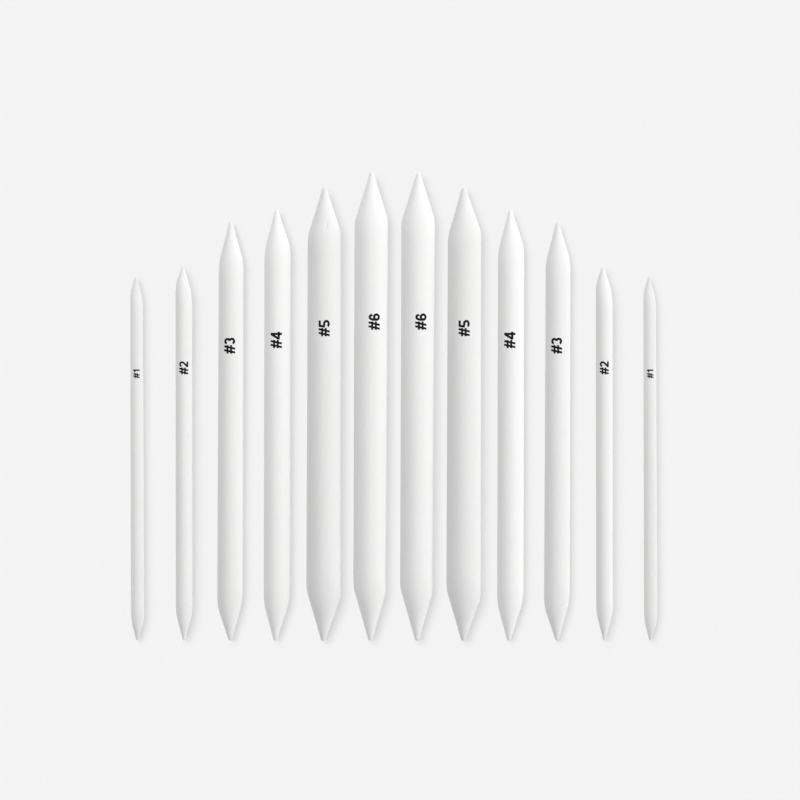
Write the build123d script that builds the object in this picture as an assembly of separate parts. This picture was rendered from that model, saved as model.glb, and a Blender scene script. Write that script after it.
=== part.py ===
from build123d import *
import os
from math import asin, atan2, degrees, hypot, radians, sin, tan
from typing import NamedTuple

# Twelve double-ended paper blending stumps, two of each of six sizes, laid side by side.
# A stump is a tight roll of soft paper inside one turn of smooth white paper, glued and dried,
# and then ground to a blunt point at both ends, through the smooth paper into the roll.
#
# Millimetres. +Z is up from the surface that the stumps lie on, which is Z = 0. X runs across
# the row, and Y along the stumps, with their numbered ends, the heads, towards +Y. The origin
# is the middle of the row's footprint on that surface.

PITCH = 17.5  # from one stump's axis to the next one's
COVER_THICKNESS = 0.3  # the smooth paper
GLUE_LINE = 0.05  # glue between the roll and its cover
SEAM_GAP = 0.15  # between the cover's two long edges, which meet without a lap
SEAM_SPREAD = 65.0  # degrees either way from straight down: the seams lie within this


class Stump(NamedTuple):
    length: float  # tip to tip
    diameter: float  # over the cover
    head_point: float  # from the head's tip to where cone and shank would meet in a sharp corner
    tail_point: float
    nose: float  # radius of both blunt tips
    shoulder: float  # radius that rounds each of those corners


SIZES = {
    1: Stump(length=136.0, diameter=5.1, head_point=7.0, tail_point=7.6, nose=0.45, shoulder=20.0),
    2: Stump(length=140.0, diameter=6.4, head_point=8.4, tail_point=10.3, nose=0.45, shoulder=22.0),
    3: Stump(length=156.5, diameter=9.8, head_point=14.9, tail_point=13.9, nose=0.7, shoulder=24.0),
    4: Stump(length=161.0, diameter=9.9, head_point=14.6, tail_point=14.7, nose=0.75, shoulder=22.0),
    5: Stump(length=169.5, diameter=12.9, head_point=17.4, tail_point=17.5, nose=0.85, shoulder=15.0),
    6: Stump(length=175.0, diameter=12.6, head_point=18.0, tail_point=18.9, nose=0.85, shoulder=13.0),
}


def cone_angle(stump, point):
    """Half the angle of a cone that touches the round nose and ends at the shank, in degrees."""
    along = point - stump.nose
    out = stump.diameter / 2
    return degrees(atan2(out, along) - asin(stump.nose / hypot(along, out)))


def shank_start(stump, point):
    """How far from a tip the straight shank starts, past the rounded shoulder."""
    return point + stump.shoulder * tan(radians(cone_angle(stump, point)) / 2)


def point_outline(stump, point):
    """Nose arc, cone and shoulder arc, from a tip at the origin up to the shank. X is the radius."""
    angle = cone_angle(stump, point)
    nose = CenterArc((0, stump.nose), stump.nose, -90, 90 - angle)
    centre = (stump.diameter / 2 - stump.shoulder, shank_start(stump, point))
    shoulder = CenterArc(centre, stump.shoulder, -angle, angle)
    return [nose, Line(nose @ 1, shoulder @ 0), shoulder]


def spindle(stump):
    """The whole ground outline turned round Y, from the tail's tip at Y = 0 to the head's tip."""
    tail = point_outline(stump, stump.tail_point)
    head = [
        Pos(0, stump.length) * mirror(edge, Plane.XZ)
        for edge in point_outline(stump, stump.head_point)
    ]
    shank = Line(tail[-1] @ 1, (stump.diameter / 2, stump.length - shank_start(stump, stump.head_point)))
    axis = Line((0, stump.length), (0, 0))
    return revolve(make_face(tail + [shank] + head + [axis]), Axis.Y)


def rod(stump, radius):
    """A plain rod round the stump's axis that runs past both tips."""
    return Pos(0, stump.length / 2) * Rot(X=90) * Cylinder(radius, stump.length + stump.diameter)


def roll(stump):
    """The wound soft paper: all of the cones, and the shank under the cover."""
    return spindle(stump) & rod(stump, stump.diameter / 2 - COVER_THICKNESS - GLUE_LINE)


def cover(stump, seam_angle):
    """One turn of smooth paper round the shank, ground to a feather edge at both shoulders."""
    tube = spindle(stump) - rod(stump, stump.diameter / 2 - COVER_THICKNESS)
    seam = Pos(0, stump.length / 2, -stump.diameter / 2) * Box(SEAM_GAP, stump.length, stump.diameter)
    return tube - Rot(Y=seam_angle) * seam


def seam_angles(count):
    """Angles from straight down, spread out by golden-ratio steps so that neighbours differ."""
    return [SEAM_SPREAD * (2 * ((place * 0.618 + 0.3) % 1) - 1) for place in range(count)]


def row():
    """Each place in the row, left to right: its side, its size's number and its axis's X."""
    numbers = sorted(SIZES)
    left = [("left", number) for number in numbers]
    right = [("right", number) for number in reversed(numbers)]
    middle = (2 * len(numbers) - 1) / 2
    return [
        (side, number, (place - middle) * PITCH)
        for place, (side, number) in enumerate(left + right)
    ]


os.makedirs("parts", exist_ok=True)
tail_line = -max(stump.length for stump in SIZES.values()) / 2  # all the tails' tips lie on it
places = row()
for (side, number, x), seam_angle in zip(places, seam_angles(len(places))):
    stump = SIZES[number]
    at = Pos(x, tail_line, stump.diameter / 2)
    name = f"stump_{number}_{side}"
    export_step(at * roll(stump), f"parts/{name}_roll.step")
    export_step(at * cover(stump, seam_angle), f"parts/{name}_cover.step")
    low = shank_start(stump, stump.tail_point)
    high = stump.length - shank_start(stump, stump.head_point)
    print(
        f"{name}: axis at X {x:.2f} Z {stump.diameter / 2:.2f},"
        f" shank from Y {tail_line + low:.3f} for {high - low:.3f},"
        f" seam at {seam_angle:.1f} degrees"
    )
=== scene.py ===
import math
from typing import NamedTuple

import bpy
import numpy as np
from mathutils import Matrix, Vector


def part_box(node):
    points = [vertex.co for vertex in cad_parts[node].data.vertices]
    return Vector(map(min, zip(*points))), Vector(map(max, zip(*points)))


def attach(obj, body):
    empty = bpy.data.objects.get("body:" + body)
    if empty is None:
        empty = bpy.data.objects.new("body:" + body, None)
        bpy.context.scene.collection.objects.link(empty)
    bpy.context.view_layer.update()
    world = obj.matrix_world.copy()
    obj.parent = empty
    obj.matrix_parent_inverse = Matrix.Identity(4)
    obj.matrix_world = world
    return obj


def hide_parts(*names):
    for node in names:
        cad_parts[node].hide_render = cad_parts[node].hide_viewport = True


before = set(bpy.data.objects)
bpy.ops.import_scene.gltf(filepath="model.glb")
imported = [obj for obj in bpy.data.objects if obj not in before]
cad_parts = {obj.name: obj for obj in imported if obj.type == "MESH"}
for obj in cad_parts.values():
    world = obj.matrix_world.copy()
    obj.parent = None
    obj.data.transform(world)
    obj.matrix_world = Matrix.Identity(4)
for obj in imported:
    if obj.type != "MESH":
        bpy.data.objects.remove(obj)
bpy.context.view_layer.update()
scene = bpy.context.scene

# ----------------------------------------------------------------------------------------------------
# The camera: straight above the row, with the numbered heads at the top of the picture. The lens is
# long and far away, so the outer stumps are seen no more from the side than the middle ones.
# ----------------------------------------------------------------------------------------------------
LENS = 200.0  # millimetres, as is the sensor
SENSOR = 36.0
VIEW_WIDTH = 0.2994  # that the picture shows at the height of the stumps' axes, in metres
AXES_HEIGHT = 0.005
ROW_CENTRE_ASIDE = 0.0023  # the row lies this far left of the picture's middle
ROW_CENTRE_DOWN = 0.0025  # and this far down

camera = bpy.data.objects.new("camera", bpy.data.cameras.new("camera"))
camera.data.lens = LENS
camera.data.sensor_width = SENSOR
camera.data.clip_start = 0.05
camera.data.clip_end = 20.0
camera.location = (ROW_CENTRE_ASIDE, ROW_CENTRE_DOWN, AXES_HEIGHT + VIEW_WIDTH * LENS / SENSOR)
scene.collection.objects.link(camera)
scene.camera = camera
scene.view_settings.view_transform = "Standard"

# ----------------------------------------------------------------------------------------------------
# The roll: one long strip of soft, felt-like paper, wound tight on itself and glued. Both ends are
# ground against a wheel to a blunt cone, through the smooth cover and the roll's own turns, which
# show on the cones as faint lines under a short, soft nap.
# ----------------------------------------------------------------------------------------------------
MM = 0.001


class Ground(NamedTuple):
    """How one size is ground, in millimetres. Right is towards +X. Nothing hand-held is ground quite
    true, so the cones are a little skewed and one side of a shoulder starts before the other."""

    head_point: float  # from the head's tip to where cone and shank would meet in a sharp corner
    tail_point: float
    nose: float  # radius of both blunt tips
    shoulder: float  # radius that rounds each of those corners, seen from above
    crown: float  # and the same on top and underneath, where the stump was rocked on the wheel
    lean: float  # how far the head lies to the right of the tail
    head_girth: float  # what the shank's radius gains at the head
    tail_girth: float
    head_drift: float  # how far to the right of the axis the tip was ground
    tail_drift: float
    head_slant: float  # the share by which the cone is shorter on its right than in the middle
    tail_slant: float


GROUND = {
    1: Ground(7.0, 7.6, 0.45, 20.0, 36.0, -0.45, -0.15, -0.02, -0.2, -0.2, -0.2, 0.0),
    2: Ground(8.4, 10.3, 0.45, 22.0, 42.0, -0.15, -0.05, -0.04, -0.5, -0.15, -0.2, 0.0),
    3: Ground(14.9, 13.9, 0.7, 24.0, 55.0, 0.55, -0.25, -0.08, -0.25, 0.1, 0.02, -0.08),
    4: Ground(14.6, 14.7, 0.75, 22.0, 50.0, 0.35, 0.0, 0.0, -0.45, -0.6, 0.05, -0.04),
    5: Ground(17.4, 17.5, 0.85, 15.0, 55.0, 0.45, -0.2, 0.0, -0.15, -0.15, 0.05, 0.09),
    6: Ground(18.0, 18.9, 0.85, 13.0, 55.0, 0.9, 0.0, -0.2, 0.1, 0.35, 0.02, 0.07),
}
NUDGES = {  # how far aside a stump lies
    ("left", 1): 0.02,
    ("left", 2): 0.14,
    ("left", 3): 0.15,
    ("left", 4): 0.12,
    ("left", 5): 0.12,
    ("right", 2): 0.12,
    ("right", 1): -0.17,
}
TIPS = {  # how far aside a head's tip is ground, over its size's usual drift
    ("left", 2): 0.15,
    ("left", 5): 0.15,
    ("left", 6): -0.1,
    ("right", 6): -0.15,
    ("right", 5): -0.2,
    ("right", 4): 0.15,
}
UNEVEN = 0.05  # millimetres that the paper's surface falls in its hollows


class Stump(NamedTuple):
    """One stump of the row: its place, and its size as the frame has it, in millimetres."""

    side: str
    number: int
    place: int  # counted from the left
    body: str
    x: float
    tail: float  # Y of the tail's tip
    length: float
    radius: float
    ground: Ground


def stump_at(place, side, number):
    """A stump whose length is its roll's, and whose radius is half its cover's height."""
    body = f"stump_{number}_{side}"
    roll_low, roll_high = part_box(f"{body}_roll")
    cover_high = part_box(f"{body}_cover")[1]
    ground = GROUND[number]
    return Stump(
        side=side,
        number=number,
        place=place,
        body=body,
        x=(roll_low.x + roll_high.x) / 2 / MM + NUDGES.get((side, number), 0.0),
        tail=roll_low.y / MM,
        length=(roll_high.y - roll_low.y) / MM,
        radius=cover_high.z / 2 / MM,
        ground=ground._replace(head_drift=ground.head_drift + TIPS.get((side, number), 0.0)),
    )


numbers = sorted(GROUND)
order = [("left", number) for number in numbers] + [("right", number) for number in reversed(numbers)]
row = [stump_at(place, side, number) for place, (side, number) in enumerate(order)]


def cone_angle(radius, point, nose):
    """Half the angle, in radians, of a cone that touches the round nose and ends at the shank."""
    return math.atan2(radius, point - nose) - math.asin(nose / math.hypot(point - nose, radius))


def rounding(ground, around):
    """The shoulder's radius: the side's and the crown's, each to its share of a squared cosine."""
    return ground.shoulder + (ground.crown - ground.shoulder) * np.cos(around) ** 2


def shank_start(radius, point, ground, around=0.0):
    """How far from a tip the shoulder's arc ends: the corner, and half the arc's turn beyond it."""
    return point + rounding(ground, around) * math.tan(cone_angle(radius, point, ground.nose) / 2)


def feather(radius, point, ground, around, depth):
    """How far from a tip the shoulder's arc lies this deep under the shank's surface."""
    arc = rounding(ground, around)
    return shank_start(radius, point, ground, around) - np.sqrt(arc**2 - (arc - depth) ** 2)


def point_outline(distance, radius, point, ground, around):
    """Radius at a distance from a tip: a circle's arc at the nose, a straight cone, the shoulder's
    arc, and then the shank."""
    angle = cone_angle(radius, point, ground.nose)
    nose_end = ground.nose * (1 - math.sin(angle))
    turn = rounding(ground, around)
    start = shank_start(radius, point, ground, around)
    nose = np.sqrt(np.clip(ground.nose**2 - (ground.nose - distance) ** 2, 0, None))
    cone = ground.nose * math.cos(angle) + (distance - nose_end) * math.tan(angle)
    arc = radius - turn + np.sqrt(np.clip(turn**2 - (start - distance) ** 2, 0, None))
    regions = [distance < nose_end, distance < start - turn * math.sin(angle), distance < start]
    return np.select(regions, [nose, cone, arc], radius)


def end_radii(stump):
    """The shank's radius at the tail and at the head."""
    return stump.radius + stump.ground.tail_girth, stump.radius + stump.ground.head_girth


def shank_radius(stump, along):
    """The shank's radius, which changes evenly from the tail's shoulder to the head's."""
    tail, head = end_radii(stump)
    start = shank_start(tail, stump.ground.tail_point, stump.ground)
    end = stump.length - shank_start(head, stump.ground.head_point, stump.ground)
    return tail + (head - tail) * np.clip((along - start) / (end - start), 0, 1)


def skewed(distance, slant, around):
    """A distance from a tip, stretched on the right and shrunk on the left by the cone's slant."""
    return distance * (1 + slant * np.sin(around))


def hollows(stump, along, around):
    """How far the surface falls short of the true spindle: two slow waves round and along the stump,
    never above it, which fade away on the tips."""
    turn = 2.4 * stump.place
    waves = np.cos(2 * around + along / 21 + turn) + 0.6 * np.cos(3 * around - along / 13 - turn)
    from_tip = np.minimum(along, stump.length - along)
    return UNEVEN * (1.6 - waves) / 3.2 * np.clip(from_tip / stump.radius, 0, 1)


def spindle_radius(stump, along, around):
    """The true spindle: the shank's radius, less what the two points' outlines, each skewed by its own
    slant, fall short of their ends of the shank."""
    ground = stump.ground
    tail, head = end_radii(stump)
    from_tail = skewed(along, ground.tail_slant, around)
    from_head = skewed(stump.length - along, ground.head_slant, around)
    tail_end = point_outline(from_tail, tail, ground.tail_point, ground, around)
    head_end = point_outline(from_head, head, ground.head_point, ground, around)
    return shank_radius(stump, along) - np.maximum(tail - tail_end, head - head_end)


def place_points(stump, along, around, radius):
    """Points in metres from distance along, angle round and distance off the axis. Angles run from
    straight up towards +X. The axis leans, bends to the drifted tips and is as high as the shank's
    radius, so that the shank lies on the surface."""
    ground = stump.ground
    to_head = np.clip(1 - (stump.length - along) / ground.head_point, 0, 1)
    to_tail = np.clip(1 - along / ground.tail_point, 0, 1)
    axis = stump.x + ground.lean * (along / stump.length - 0.5)
    axis = axis + ground.head_drift * to_head + ground.tail_drift * to_tail
    x = axis + radius * np.sin(around)
    y = stump.tail + along + 0 * around
    z = shank_radius(stump, along) + radius * np.cos(around)
    return np.stack([x, y, z], axis=-1) * MM


TURN_THICKNESS = 0.28  # of one turn of the soft paper, in millimetres
COVER_THICKNESS = 0.3
GLUE_LINE = 0.02
ROUND_STEPS = 128
NOSE_ROWS = 10
CONE_ROWS = 56
CORE_ROWS = 6
CREASE_DEPTH = 0.21  # of the knock on the left number 5's head, in millimetres
CREASE_FROM_TIP = 14.4
CREASE_AROUND = 0.17  # radians to the right of the top
CREASE_RADIUS = 0.85  # the cone's radius there, as a share of the shank's
CREASE_LENGTH = 2.2
CREASE_WIDTH = 0.36
CREASE_TILT = 0.3  # millimetres to the right for each one towards the tip
PAPER_SHADES = {1: 0.905, 2: 0.873, 3: 0.862, 4: 0.91, 5: 0.836, 6: 0.885}  # each size has its own shade of paper
TIP_SHADES = {1: 0.91, 2: 0.945, 3: 0.95, 4: 0.95, 5: 0.93, 6: 0.94}  # of a tip's grey, over its paper's: a handled tip's tone, with painted shade that dims the strip's highlight on the nose
GREYEST_TO = 0.5  # millimetres off the axis up to which a tip is greyest
UNGREYED_FROM = 2.6  # and from which the paper has no grey


def cover_depth(stump, around):
    """The cover's thickness where the grinding ends it, which wavers because the roll isn't round."""
    waver = 0.5 * np.sin(3 * around + stump.place) + 0.5 * np.sin(5 * around + 2.0 * stump.place)
    return COVER_THICKNESS * (1 + 0.25 * waver)


def creased(stump):
    """True for the stump that has the knock."""
    return (stump.side, stump.number) == ("left", 5)


def round_steps(stump):
    """Columns round a skin, closer together where they have to show the knock."""
    return ROUND_STEPS * 3 if creased(stump) else ROUND_STEPS


def crease(stump, along, around):
    """The knock: a narrow hollow across a line that leans to the right, rounded off at its ends."""
    if not creased(stump):
        return 0.0
    ahead = along - (stump.length - CREASE_FROM_TIP)
    aside = (around - CREASE_AROUND) * stump.radius * CREASE_RADIUS - CREASE_TILT * ahead
    return CREASE_DEPTH * np.exp(-((aside / CREASE_WIDTH) ** 2) - (ahead / CREASE_LENGTH) ** 4)


def cone_rows(stump, radius, point, slant, around):
    """Distances from a tip for each row and each angle: even steps round the nose, and then even
    steps up to the feather edge of the cover at that angle."""
    ground = stump.ground
    angle = cone_angle(radius, point, ground.nose)
    turns = np.linspace(0, math.pi / 2 - angle, NOSE_ROWS)[1:, None]
    nose = ground.nose * (1 - np.cos(turns)) + 0 * around
    edge = feather(radius, point, ground, around, cover_depth(stump, around) + GLUE_LINE)
    cone = nose[-1] + (edge - nose[-1]) * np.linspace(0, 1, CONE_ROWS + 1)[1:, None]
    return np.concatenate([nose, cone]) / (1 + slant * np.sin(around))


def roll_grid(stump):
    """Distances along and angles round for the whole roll, from beside one tip to beside the other."""
    ground = stump.ground
    around = np.linspace(0, 2 * math.pi, round_steps(stump), endpoint=False)[None, :]
    tail, head = end_radii(stump)
    tail_rows = cone_rows(stump, tail, ground.tail_point, ground.tail_slant, around)
    head_rows = cone_rows(stump, head, ground.head_point, ground.head_slant, around)
    head_rows = stump.length - head_rows[::-1]
    shares = np.linspace(0, 1, CORE_ROWS + 2)[1:-1, None]
    core_rows = tail_rows[-1] + (head_rows[0] - tail_rows[-1]) * shares
    along = np.concatenate([tail_rows, core_rows, head_rows])
    return along, around + 0 * along


def closed_tube_faces(rows, columns):
    """Quads between the rings of a tube, and a fan of triangles to a pole at each end. The poles are
    the two points after the rings' own."""
    ring = np.arange(rows * columns).reshape(rows, columns)
    after = np.roll(ring, -1, axis=1)
    quads = np.stack([ring[:-1], after[:-1], after[1:], ring[1:]], axis=-1).reshape(-1, 4)
    first, last = rows * columns, rows * columns + 1
    low = np.stack([np.full(columns, first), after[0], ring[0]], axis=-1)
    high = np.stack([np.full(columns, last), ring[-1], after[-1]], axis=-1)
    return quads, np.concatenate([low, high])


def mesh_of(name, points, quads, triangles):
    """A mesh of quads and then triangles."""
    mesh = bpy.data.meshes.new(name)
    mesh.from_pydata(points.tolist(), [], quads.tolist() + triangles.tolist())
    mesh.update()
    return mesh


def winding_map(mesh, around, radius, quads, triangles):
    """A UV map of turns round the axis and distance off it, in metres. A corner on the far side of the
    closing line has its angle one turn on, so that no face runs backwards."""
    corners = np.concatenate([quads.ravel(), triangles.ravel()])
    turns = around[corners] / (2 * math.pi)
    counts = np.concatenate([np.full(len(quads), 4), np.full(len(triangles), 3)])
    starts = np.concatenate([[0], np.cumsum(counts)[:-1]])
    highest = np.repeat(np.maximum.reduceat(turns, starts), counts)
    turns = turns + (highest - turns > 0.5)
    uv = np.stack([turns, radius[corners] * MM], axis=-1)
    mesh.uv_layers.new(name="winding").data.foreach_set("uv", uv.ravel())


def shown(mesh, material, body, slot, *nodes):
    """Puts a finished mesh on its body, in the place of its CAD nodes."""
    mesh.materials.append(material)
    piece = bpy.data.objects.new(mesh.name, mesh)
    scene.collection.objects.link(piece)
    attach(piece, body)
    if nodes:
        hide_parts(*nodes)
    return piece


def roll_mesh(stump):
    """The roll's skin: the ground spindle on the cones, and under the cover a plain rod that leaves
    room for the cover and its glue."""
    along, around = roll_grid(stump)
    radius = np.minimum(
        spindle_radius(stump, along, around),
        shank_radius(stump, along) - cover_depth(stump, around) - GLUE_LINE,
    )
    radius = radius - hollows(stump, along, around) - crease(stump, along, around)
    rings = place_points(stump, along, around, radius).reshape(-1, 3)
    tips = place_points(stump, np.array([0.0, stump.length]), np.zeros(2), np.zeros(2))
    points = np.concatenate([rings, tips])
    quads, triangles = closed_tube_faces(*along.shape)
    mesh = mesh_of(f"paper_roll_{stump.number}_{stump.side}", points, quads, triangles)
    mesh.shade_smooth()
    every_angle = np.concatenate([around.ravel(), [0, 0]])
    every_radius = np.concatenate([radius.ravel(), [0, 0]])
    winding_map(mesh, every_angle, every_radius, quads, triangles)
    return mesh


def node_tree(name):
    """A new material, its Principled shader and two short ways to add a node and to join two."""
    material = bpy.data.materials.new(name)
    material.use_nodes = True
    nodes, links = material.node_tree.nodes, material.node_tree.links

    def add(kind, **values):
        node = nodes.new(kind)
        for key, value in values.items():
            if key in node.inputs:
                node.inputs[key].default_value = value
            else:
                setattr(node, key, value)
        return node

    return material, nodes["Principled BSDF"], add, links.new


def stretched_noise(add, join, stretch, scale, detail, roughness=0.5):
    """Noise on Object coordinates, drawn out along the stump where stretch is under one."""
    place = add("ShaderNodeTexCoord")
    mapping = add("ShaderNodeMapping", Scale=(1.0, stretch, 1.0))
    noise = add("ShaderNodeTexNoise", Scale=scale, Detail=detail, Roughness=roughness)
    join(place.outputs["Object"], mapping.inputs["Vector"])
    join(mapping.outputs["Vector"], noise.inputs["Vector"])
    return noise


def mixed_colour(add, join, factor, first, second):
    """One colour turning into another as the factor goes from 0 to 1. Each is a colour or a socket."""
    mix = add("ShaderNodeMix", data_type="RGBA")
    join(factor, mix.inputs["Factor"])
    for socket, colour in ((mix.inputs[6], first), (mix.inputs[7], second)):  # its A and B for colours
        if isinstance(colour, bpy.types.NodeSocket):
            join(colour, socket)
        else:
            socket.default_value = (*colour, 1.0)
    return mix.outputs[2]


def clouded(add, join, shade):
    """The papers' own colour: slow clouds, a little warmer and a little cooler than the shade."""
    cloud = stretched_noise(add, join, 0.4, 55.0, 2.0)
    warm = (shade * 0.985, shade * 0.982, shade * 0.975)
    cool = (shade * 1.005, shade * 1.01, shade * 1.01)
    return mixed_colour(add, join, cloud.outputs["Fac"], warm, cool)


def felt_paper(size_number, shade, tip):
    """The soft paper, ground: warm and cool clouds, turns of the roll as faint lines, tips a shade
    greyer, as a handled tip's tone and as painted shade that dims the strip's highlight on the noses, and
    a nap of short fibres, all on a rough and slightly downy surface."""
    material, shader, add, join = node_tree(f"felt_paper_{size_number}")
    clouds = clouded(add, join, shade)
    winding = add("ShaderNodeUVMap", uv_map="winding")
    parts = add("ShaderNodeSeparateXYZ")
    layers = add("ShaderNodeMath", operation="MULTIPLY_ADD")
    layers.inputs[1].default_value = 1 / (TURN_THICKNESS * MM)
    waver = stretched_noise(add, join, 1.0, 260.0, 2.0)
    wavered = add("ShaderNodeMath", operation="MULTIPLY_ADD")
    wavered.inputs[1].default_value = 0.5
    wave = add("ShaderNodeMath", operation="PINGPONG")
    wave.inputs[1].default_value = 0.5
    line = add("ShaderNodeMapRange", interpolation_type="SMOOTHSTEP")
    line.inputs["From Min"].default_value = 0.0
    line.inputs["From Max"].default_value = 0.16
    join(winding.outputs["UV"], parts.inputs["Vector"])
    join(parts.outputs["Y"], layers.inputs[0])
    join(parts.outputs["X"], layers.inputs[2])
    join(waver.outputs["Fac"], wavered.inputs[0])
    join(layers.outputs["Value"], wavered.inputs[2])
    join(wavered.outputs["Value"], wave.inputs[0])
    join(wave.outputs["Value"], line.inputs["Value"])
    between = (shade * 0.985, shade * 0.983, shade * 0.978)
    lined = mixed_colour(add, join, line.outputs["Result"], between, clouds)
    off_tip = add("ShaderNodeMapRange", interpolation_type="SMOOTHSTEP")
    off_tip.inputs["From Min"].default_value = GREYEST_TO * MM
    off_tip.inputs["From Max"].default_value = UNGREYED_FROM * MM
    join(parts.outputs["Y"], off_tip.inputs["Value"])
    # painted shade as well as a handled tone: the greyer tips dim the highlight that the strip puts on
    # the noses
    greyed_tip = (shade * tip, shade * (tip + 0.013), shade * (tip + 0.017))
    join(mixed_colour(add, join, off_tip.outputs["Result"], greyed_tip, lined), shader.inputs["Base Color"])

    nap = stretched_noise(add, join, 0.6, 2600.0, 3.0, 0.65)
    nap_bump = add("ShaderNodeBump", Strength=0.22, Distance=0.00004)
    line_bump = add("ShaderNodeBump", Strength=0.06, Distance=0.00002)
    join(nap.outputs["Fac"], nap_bump.inputs["Height"])
    join(line.outputs["Result"], line_bump.inputs["Height"])
    join(nap_bump.outputs["Normal"], line_bump.inputs["Normal"])
    join(line_bump.outputs["Normal"], shader.inputs["Normal"])
    shader.inputs["Roughness"].default_value = 0.9
    shader.inputs["Specular IOR Level"].default_value = 0.2
    shader.inputs["Diffuse Roughness"].default_value = 0.5
    shader.inputs["Sheen Weight"].default_value = 0.03
    shader.inputs["Sheen Roughness"].default_value = 0.5
    return material


felt_papers = {
    number: felt_paper(number, PAPER_SHADES[number], TIP_SHADES[number]) for number in numbers
}
stump_pieces = []
for stump in row:
    paper = felt_papers[stump.number]
    piece = shown(roll_mesh(stump), paper, stump.body, "roll_paper", f"{stump.body}_roll")
    stump_pieces.append(piece)

# ----------------------------------------------------------------------------------------------------
# The cover: one turn of smooth white paper, glued round the roll with its two long edges butted at a
# seam underneath. The grinding wears both of its ends down to a feather edge at the shoulders.
# ----------------------------------------------------------------------------------------------------
SEAM_GAP = 0.15  # between the two long edges, in millimetres
SEAM_SPREAD = 65.0  # degrees either way from straight down: the seams lie within this
SHOULDER_ROWS = 14
SHANK_ROWS = 56
SHARP_FROM = 50  # degrees between two faces, from which the edge between them isn't smoothed


def seam_around(stump):
    """Where the seam is: half a turn from the top, and aside by golden-ratio steps along the row."""
    aside = SEAM_SPREAD * (2 * ((stump.place * 0.618 + 0.3) % 1) - 1)
    return math.pi + math.radians(aside)


def shoulder_rows(stump, radius, point, slant, around):
    """Distances from a tip for each row and each angle: from the feather edge to the shank."""
    edge = feather(radius, point, stump.ground, around, cover_depth(stump, around))
    start = shank_start(radius, point, stump.ground, around)
    rows = edge + (start - edge) * np.linspace(0, 1, SHOULDER_ROWS)[:, None]
    return rows / (1 + slant * np.sin(around))


def cover_grid(stump):
    """Distances along and angles round for the cover, from feather edge to feather edge, and from one
    side of the seam round to the other."""
    ground = stump.ground
    half_gap = SEAM_GAP / 2 / stump.radius
    turn = np.linspace(half_gap, 2 * math.pi - half_gap, round_steps(stump) + 1)[None, :]
    around = seam_around(stump) + turn
    tail, head = end_radii(stump)
    tail_rows = shoulder_rows(stump, tail, ground.tail_point, ground.tail_slant, around)
    head_rows = shoulder_rows(stump, head, ground.head_point, ground.head_slant, around)
    head_rows = stump.length - head_rows[::-1]
    shares = np.linspace(0, 1, SHANK_ROWS + 2)[1:-1, None]
    shank_rows = tail_rows[-1] + (head_rows[0] - tail_rows[-1]) * shares
    along = np.concatenate([tail_rows, shank_rows, head_rows])
    return along, around + 0 * along


def wrap_faces(rows, columns):
    """Faces of a wrap with a slit: an outer skin, an inner one turned the other way that shares its
    first and last row, and a wall down each side of the slit, closed by a triangle at each end."""
    outer = np.arange(rows * columns).reshape(rows, columns)
    inner = outer.copy()
    inner[1:-1] = rows * columns + np.arange((rows - 2) * columns).reshape(rows - 2, columns)
    out = np.stack([outer[:-1, :-1], outer[:-1, 1:], outer[1:, 1:], outer[1:, :-1]], axis=-1)
    back = np.stack([inner[:-1, :-1], inner[1:, :-1], inner[1:, 1:], inner[:-1, 1:]], axis=-1)
    quads, triangles = [out.reshape(-1, 4), back.reshape(-1, 4)], []
    for o, i in ((outer[:, 0], inner[:, 0]), (inner[:, -1], outer[:, -1])):
        quads.append(np.stack([o[1:-2], o[2:-1], i[2:-1], i[1:-2]], axis=-1))
        triangles.append(np.array([[o[0], o[1], i[1]], [o[-2], o[-1], i[-2]]]))
    return np.concatenate(quads), np.concatenate(triangles)


def cover_mesh(stump):
    """The cover: its outside is the ground spindle, and its inside a tube one thickness down."""
    along, around = cover_grid(stump)
    fall = hollows(stump, along, around)
    outside = spindle_radius(stump, along, around) - fall - crease(stump, along, around)
    inside = shank_radius(stump, along) - cover_depth(stump, around) - fall
    inside = np.minimum(inside, outside)
    outer = place_points(stump, along, around, outside).reshape(-1, 3)
    inner = place_points(stump, along, around, inside)[1:-1].reshape(-1, 3)
    quads, triangles = wrap_faces(*along.shape)
    mesh = mesh_of(
        f"paper_cover_{stump.number}_{stump.side}", np.concatenate([outer, inner]), quads, triangles
    )
    mesh.shade_smooth()
    mesh.set_sharp_from_angle(angle=math.radians(SHARP_FROM))
    return mesh


def smooth_paper(size_number, shade):
    """The cover's paper: near white, with slow warm and cool clouds, fibres drawn out along the stump
    and the faint tooth of a calendered sheet."""
    material, shader, add, join = node_tree(f"smooth_paper_{size_number}")
    clouds = clouded(add, join, shade)
    fibre = stretched_noise(add, join, 0.22, 1500.0, 3.0, 0.6)
    thin = add("ShaderNodeMapRange")
    thin.inputs["From Min"].default_value = 0.35
    thin.inputs["From Max"].default_value = 0.75
    join(fibre.outputs["Fac"], thin.inputs["Value"])
    fibres = (shade * 0.975, shade * 0.972, shade * 0.965)
    join(mixed_colour(add, join, thin.outputs["Result"], clouds, fibres), shader.inputs["Base Color"])

    tooth = stretched_noise(add, join, 0.5, 3800.0, 3.0, 0.6)
    bump = add("ShaderNodeBump", Strength=0.12, Distance=0.00002)
    join(tooth.outputs["Fac"], bump.inputs["Height"])
    join(bump.outputs["Normal"], shader.inputs["Normal"])
    gloss = add("ShaderNodeMapRange")
    gloss.inputs["To Min"].default_value = 0.55
    gloss.inputs["To Max"].default_value = 0.75
    join(tooth.outputs["Fac"], gloss.inputs["Value"])
    join(gloss.outputs["Result"], shader.inputs["Roughness"])
    shader.inputs["Diffuse Roughness"].default_value = 0.5
    shader.inputs["Specular IOR Level"].default_value = 0.15
    shader.inputs["Sheen Weight"].default_value = 0.03
    shader.inputs["Sheen Roughness"].default_value = 0.5
    return material


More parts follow.
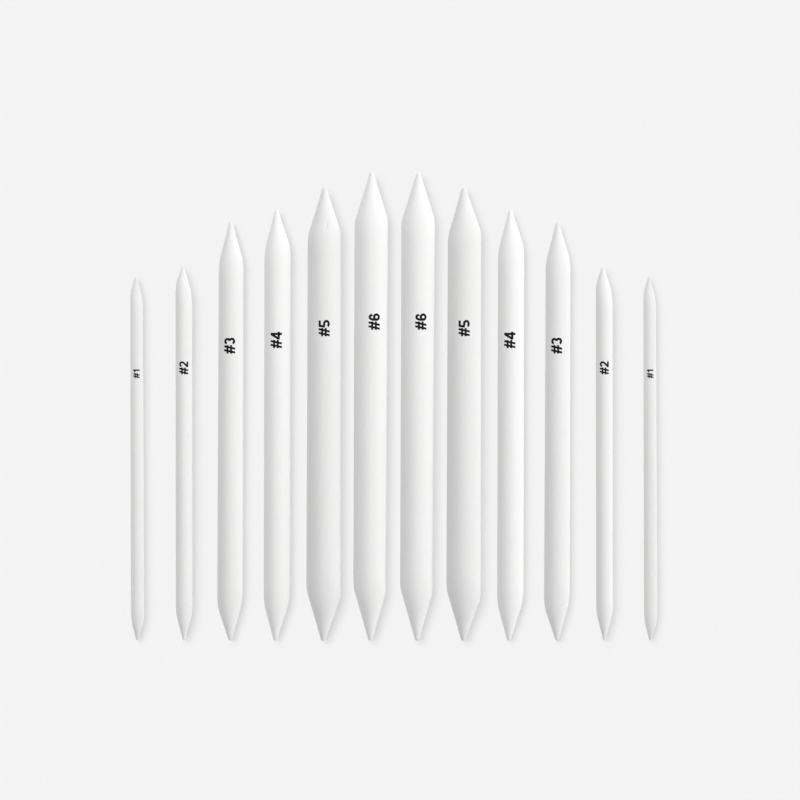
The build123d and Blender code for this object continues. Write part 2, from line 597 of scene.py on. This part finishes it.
smooth_papers = {number: smooth_paper(number, PAPER_SHADES[number]) for number in numbers}
for stump in row:
    paper = smooth_papers[stump.number]
    piece = shown(cover_mesh(stump), paper, stump.body, "cover_paper", f"{stump.body}_cover")
    stump_pieces.append(piece)

# ----------------------------------------------------------------------------------------------------
# The size mark: a hash and the size's number, printed in black ink on the cover near the head. It
# reads from the tail towards the head, and is a film of ink that stands just proud of the paper.
# ----------------------------------------------------------------------------------------------------
INK_ABOVE = 0.014  # millimetres that the film stands over the paper
INK_BELOW = 0.01  # and that it soaks in
INK_CELL = 0.06  # of the grid that the film is made on
HASH_WIDTH = 0.72  # of the mark's height, as are all of the strokes below
SPACE = 0.03
HASH_STROKE = 0.18
DIGIT_STROKE = 0.2


class Mark(NamedTuple):
    """How high a size's letters are, and where their middle is, in millimetres. The asides are round
    the shank from its top: the left stump of a size lies turned a little otherwise than the right."""

    height: float
    from_tip: float
    left_aside: float
    right_aside: float


MARKS = {
    1: Mark(2.65, 36.15, -0.05, 0.0),
    2: Mark(3.62, 38.0, 0.05, -0.15),
    3: Mark(4.45, 46.2, -0.35, -0.65),
    4: Mark(4.35, 48.6, -0.35, -0.6),
    5: Mark(4.35, 52.7, 0.1, -0.15),
    6: Mark(4.42, 55.77, 1.35, 1.25),
}


class Bar(NamedTuple):
    """A straight stroke with square ends."""

    start: tuple
    end: tuple

    def outside(self, u, v, width):
        """Distance outside the stroke: that to a turned box, measured along and across it."""
        du, dv = self.end[0] - self.start[0], self.end[1] - self.start[1]
        length = math.hypot(du, dv)
        along = ((u - self.start[0]) * du + (v - self.start[1]) * dv) / length - length / 2
        across = ((v - self.start[1]) * du - (u - self.start[0]) * dv) / length
        return np.maximum(np.abs(along) - length / 2, np.abs(across) - width / 2)


class Bend(NamedTuple):
    """A stroke along an ellipse, from one angle on anticlockwise to another, in degrees."""

    centre: tuple
    radii: tuple
    start: float
    end: float

    def outside(self, u, v, width):
        """Distance outside the stroke: that to the ellipse, less half the width, or that to the
        nearer end, whichever is more."""
        u, v = u - self.centre[0], v - self.centre[1]
        a, b = self.radii
        near = np.hypot(u / a, v / b) + 1e-9
        ellipse = near * (near - 1) / (np.hypot(u / a**2, v / b**2) + 1e-9)
        middle = math.radians((self.start + self.end) / 2)
        half = math.radians((self.end - self.start) / 2)
        off = np.abs((np.arctan2(v, u) - middle + math.pi) % (2 * math.pi) - math.pi)
        return np.maximum(np.abs(ellipse) - width / 2, (off - half) * np.hypot(u, v))


HASH = [
    Bar((0.077, -0.1), (0.326, 1.1)),
    Bar((0.394, -0.1), (0.643, 1.1)),
    Bar((0.0, 0.364), (0.72, 0.364)),
    Bar((0.0, 0.68), (0.72, 0.68)),
]
DIGITS = {
    1: [Bar((0.37, -0.1), (0.37, 1.1)), Bar((0.08, 0.68), (0.40, 0.88))],
    2: [
        Bend((0.31, 0.68), (0.20, 0.215), -40, 170),
        Bar((0.48, 0.54), (0.07, 0.10)),
        Bar((0.0, 0.10), (0.60, 0.10)),
    ],
    3: [
        Bend((0.29, 0.70), (0.185, 0.20), -80, 165),
        Bend((0.30, 0.30), (0.195, 0.20), -160, 85),
    ],
    4: [
        Bar((0.48, -0.1), (0.48, 1.0)),
        Bar((0.50, 1.0), (0.06, 0.27)),
        Bar((0.0, 0.28), (0.67, 0.28)),
    ],
    5: [
        Bar((0.11, 0.90), (0.61, 0.90)),
        Bar((0.16, 0.98), (0.09, 0.44)),
        Bend((0.325, 0.30), (0.235, 0.20), -155, 140),
    ],
    6: [
        Bend((0.325, 0.31), (0.2175, 0.21), -180, 180),
        Bend((0.325, 0.50), (0.2175, 0.395), 40, 250),
    ],
}
DIGIT_WIDTHS = {1: 0.5, 2: 0.6, 3: 0.6, 4: 0.67, 5: 0.67, 6: 0.65}


def mark_outside(number, u, v):
    """Distance outside a size's whole mark: the least over its strokes, cut off at the letters' foot
    and head. u runs from the hash to the number and v up the letters."""
    hash_parts = [stroke.outside(u, v, HASH_STROKE) for stroke in HASH]
    digit_u = u - HASH_WIDTH - SPACE
    digit_parts = [stroke.outside(digit_u, v, DIGIT_STROKE) for stroke in DIGITS[number]]
    return np.maximum(np.minimum.reduce(hash_parts + digit_parts), np.abs(v - 0.5) - 0.5)


def snapped(number, u, v, step):
    """Moves points onto the mark's edge, down the slope of the distance by as much as it says."""
    for _ in range(3):
        away = mark_outside(number, u, v)
        slope_u = (mark_outside(number, u + step, v) - mark_outside(number, u - step, v)) / (2 * step)
        slope_v = (mark_outside(number, u, v + step) - mark_outside(number, u, v - step)) / (2 * step)
        steep = np.maximum(slope_u**2 + slope_v**2, 0.25)
        u, v = u - away * slope_u / steep, v - away * slope_v / steep
    return u, v


def film_faces(inside):
    """Faces of a film over the cells that are inside: the top, the bottom turned the other way and a
    wall wherever a cell has none beside it. Points are numbered through the top and then the bottom."""
    rows, columns = inside.shape
    corner = np.arange((rows + 1) * (columns + 1)).reshape(rows + 1, columns + 1)
    under = corner + corner.size
    a, b, c, d = corner[:-1, :-1], corner[:-1, 1:], corner[1:, 1:], corner[1:, :-1]
    e, f, g, h = under[:-1, :-1], under[:-1, 1:], under[1:, 1:], under[1:, :-1]
    framed = np.pad(inside, 1)
    faces = [np.stack([a, b, c, d], axis=-1)[inside], np.stack([e, h, g, f], axis=-1)[inside]]
    walls = (
        (framed[:-2, 1:-1], (a, e, f, b)),
        (framed[1:-1, 2:], (b, f, g, c)),
        (framed[2:, 1:-1], (c, g, h, d)),
        (framed[1:-1, :-2], (d, h, e, a)),
    )
    for beside, loop in walls:
        faces.append(np.stack(loop, axis=-1)[inside & ~beside])
    return np.concatenate(faces)


def mark_mesh(stump):
    """The film of ink: cells of a flat grid that lie inside the strokes, with its edge points moved
    onto the strokes' edges, wrapped round the cover by arc length."""
    number, mark = stump.number, MARKS[stump.number]
    width = HASH_WIDTH + SPACE + DIGIT_WIDTHS[number]
    cell = INK_CELL / mark.height
    u, v = np.meshgrid(np.arange(-0.05, width + 0.05, cell), np.arange(-0.05, 1.05, cell), indexing="ij")
    away = mark_outside(number, u, v)
    inside = (away[:-1, :-1] + away[:-1, 1:] + away[1:, 1:] + away[1:, :-1]) < 0
    framed = np.pad(inside, 1)
    touching = framed[:-1, :-1].astype(int) + framed[:-1, 1:] + framed[1:, 1:] + framed[1:, :-1]
    edge = (touching > 0) & (touching < 4)
    edge_u, edge_v = snapped(number, u, v, cell / 4)
    u, v = np.where(edge, edge_u, u), np.where(edge, edge_v, v)
    along = stump.length - mark.from_tip + (u - width / 2) * mark.height
    aside = mark.left_aside if stump.side == "left" else mark.right_aside
    around = (aside - (v - 0.5) * mark.height) / stump.radius
    skin = spindle_radius(stump, along, around) - hollows(stump, along, around)
    top = place_points(stump, along, around, skin + INK_ABOVE).reshape(-1, 3)
    bottom = place_points(stump, along, around, skin - INK_BELOW).reshape(-1, 3)
    faces = film_faces(inside)[:, ::-1]
    used, faces = np.unique(faces, return_inverse=True)
    points = np.concatenate([top, bottom])[used]
    mesh = mesh_of(
        f"size_mark_{number}_{stump.side}", points, faces.reshape(-1, 4), np.zeros((0, 3), dtype=int)
    )
    mesh.shade_smooth()
    mesh.set_sharp_from_angle(angle=math.radians(SHARP_FROM))
    return mesh


def printing_ink():
    """Black ink, a shade thinner in patches where the paper's tooth took less of it."""
    material, shader, add, join = node_tree("printing_ink")
    patch = stretched_noise(add, join, 1.0, 2200.0, 3.0, 0.6)
    full, thin = (0.003, 0.003, 0.004), (0.014, 0.014, 0.016)
    join(mixed_colour(add, join, patch.outputs["Fac"], full, thin), shader.inputs["Base Color"])
    bump = add("ShaderNodeBump", Strength=0.1, Distance=0.00001)
    join(patch.outputs["Fac"], bump.inputs["Height"])
    join(bump.outputs["Normal"], shader.inputs["Normal"])
    shader.inputs["Roughness"].default_value = 0.65
    shader.inputs["Specular IOR Level"].default_value = 0.1
    return material


ink = printing_ink()
for stump in row:
    stump_pieces.append(shown(mark_mesh(stump), ink, stump.body, "size_mark_ink"))

# ----------------------------------------------------------------------------------------------------
# The floor: a plain pale sheet that the row lies on, large enough to fill every view.
# ----------------------------------------------------------------------------------------------------
FLOOR_HALF_SIDE = 6.0
FLOOR_COLOUR = (0.86, 0.86, 0.86, 1.0)

floor_mesh = bpy.data.meshes.new("floor")
corners = FLOOR_HALF_SIDE * np.array([[-1, -1, 0], [1, -1, 0], [1, 1, 0], [-1, 1, 0]])
floor_mesh.from_pydata(corners.tolist(), [], [(0, 1, 2, 3)])
floor_paint, floor_shader, _, _ = node_tree("floor_paint")
floor_shader.inputs["Base Color"].default_value = FLOOR_COLOUR
floor_shader.inputs["Roughness"].default_value = 1.0
floor_shader.inputs["Specular IOR Level"].default_value = 0.0
floor_mesh.materials.append(floor_paint)
floor = bpy.data.objects.new("floor", floor_mesh)
scene.collection.objects.link(floor)

# ----------------------------------------------------------------------------------------------------
# The light: a broad soft key from the upper right that falls on the stumps alone, a strip beyond
# their heads, a white room all round, and for the floor its own light with the stumps' soft shadows.
# ----------------------------------------------------------------------------------------------------
lit_stumps = bpy.data.collections.new("lit_stumps")
lit_floor = bpy.data.collections.new("lit_floor")
nothing = bpy.data.collections.new("nothing")
for piece in stump_pieces:
    lit_stumps.objects.link(piece)
    piece.visible_diffuse = False
lit_floor.objects.link(floor)


def lamp(name, kind, energy, towards, receivers, blockers, distance=1.0):
    """A light that shines on its receivers alone, shadowed by its blockers alone, from the direction
    given by its azimuth from +X to +Y and its elevation, in degrees."""
    light = bpy.data.lights.new(name, kind)
    light.energy = energy
    azimuth, elevation = (math.radians(angle) for angle in towards)
    out = math.cos(elevation)
    direction = (out * math.cos(azimuth), out * math.sin(azimuth), math.sin(elevation))
    lamp_object = bpy.data.objects.new(name, light)
    lamp_object.location = [distance * part for part in direction]
    lamp_object.rotation_mode = "XYZ"
    lamp_object.rotation_euler = (0, math.pi / 2 - elevation, azimuth)
    lamp_object.light_linking.receiver_collection = receivers
    lamp_object.light_linking.blocker_collection = blockers
    scene.collection.objects.link(lamp_object)
    return light


KEY_TOWARDS = (21, 27)
KEY_SPREAD = 50  # degrees that it is wide
KEYS = (("thin", (1,), 1.12), ("thick", (2, 3, 4, 5, 6), 1.56))  # the thinnest have the weaker one
for thickness, sizes, strength in KEYS:
    lit = bpy.data.collections.new(f"key_lit_{thickness}")
    for piece in stump_pieces:
        if int(piece.name.split("_")[2]) in sizes:
            lit.objects.link(piece)
    key = lamp(f"key_{thickness}", "SUN", strength, KEY_TOWARDS, lit, nothing)
    key.angle = math.radians(KEY_SPREAD)

STRIP_POWER = 3.4
STRIP_TOWARDS = (90, 45)
STRIP_DISTANCE = 0.55  # metres, as are its sides
STRIP_WIDTH = 0.3
STRIP_LENGTH = 3.0

strip = lamp("strip", "AREA", STRIP_POWER, STRIP_TOWARDS, lit_stumps, nothing, STRIP_DISTANCE)
strip.shape = "RECTANGLE"
strip.size = STRIP_WIDTH
strip.size_y = STRIP_LENGTH

FLOOR_SUN_STRENGTH = 0.84  # as it falls on the level floor
FLOOR_SUN_AZIMUTH = 135
SHADOWS = (  # the thick stumps' sun stands higher and is smaller than the thin ones'
    ("thick", (3, 4, 5, 6), 71, 30),
    ("thin", (1, 2), 60, 46),
)
for thickness, sizes, height, spread in SHADOWS:
    casters = bpy.data.collections.new(f"{thickness}_stumps")
    for piece in stump_pieces:
        if piece.name.startswith("paper_") and int(piece.name.split("_")[2]) in sizes:
            casters.objects.link(piece)
    strength = FLOOR_SUN_STRENGTH / math.sin(math.radians(height))
    towards = (FLOOR_SUN_AZIMUTH, height)
    sun = lamp(f"floor_sun_{thickness}", "SUN", strength, towards, lit_floor, casters)
    sun.angle = math.radians(spread)

ROOM_SEEN = 0.896  # the room's brightness to the eye, which is the floor's own
ROOM_WALLS = 0.2  # and to the surfaces that it lights, from the floor's level
ROOM_CEILING = 0.665  # up to straight overhead

world = bpy.data.worlds.new("room")
world.use_nodes = True
scene.world = world
room = world.node_tree.nodes["Background"]
seen = world.node_tree.nodes.new("ShaderNodeLightPath")
levels = world.node_tree.nodes.new("ShaderNodeMapRange")
levels.inputs["To Max"].default_value = ROOM_SEEN
direction = world.node_tree.nodes.new("ShaderNodeTexCoord")
parts = world.node_tree.nodes.new("ShaderNodeSeparateXYZ")
rise = world.node_tree.nodes.new("ShaderNodeMapRange")
rise.inputs["To Min"].default_value = ROOM_WALLS
rise.inputs["To Max"].default_value = ROOM_CEILING
world.node_tree.links.new(direction.outputs["Generated"], parts.inputs["Vector"])
world.node_tree.links.new(parts.outputs["Z"], rise.inputs["Value"])
world.node_tree.links.new(rise.outputs["Result"], levels.inputs["To Min"])
world.node_tree.links.new(seen.outputs["Is Camera Ray"], levels.inputs["Value"])
world.node_tree.links.new(levels.outputs["Result"], room.inputs["Strength"])
room.inputs["Color"].default_value = (1.0, 1.0, 1.0, 1.0)
